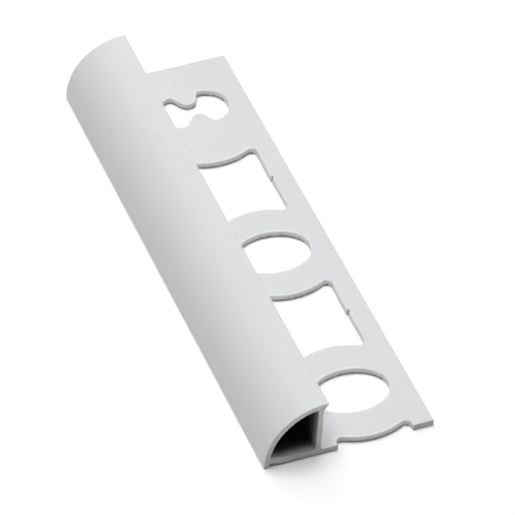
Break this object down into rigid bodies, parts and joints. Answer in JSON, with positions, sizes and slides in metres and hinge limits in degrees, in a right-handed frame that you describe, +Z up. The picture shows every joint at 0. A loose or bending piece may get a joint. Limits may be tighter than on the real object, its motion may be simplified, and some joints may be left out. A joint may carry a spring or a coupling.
{
  "type": "rounded tile edge trim",
  "caption": "Quarter-round edge trim for tiles: a hollow rounded nose with a short lip over the tile's edge, and a flat flange punched with holes for the adhesive.",
  "frame": {"origin": "middle of the box around the trim, on the level floor that it lies on", "axes": "+Y along the trim from the end that is sawn through an opening to the end beside the waisted hole, +X from the nose across the flange to its free edge, +Z up"},
  "size_m": [0.0266, 0.0896, 0.01],
  "materials": {
    "plastic": "satin"
  },
  "bodies": {
    "root": {"edge_trim": "plastic"}
  },
  "joints": []
}
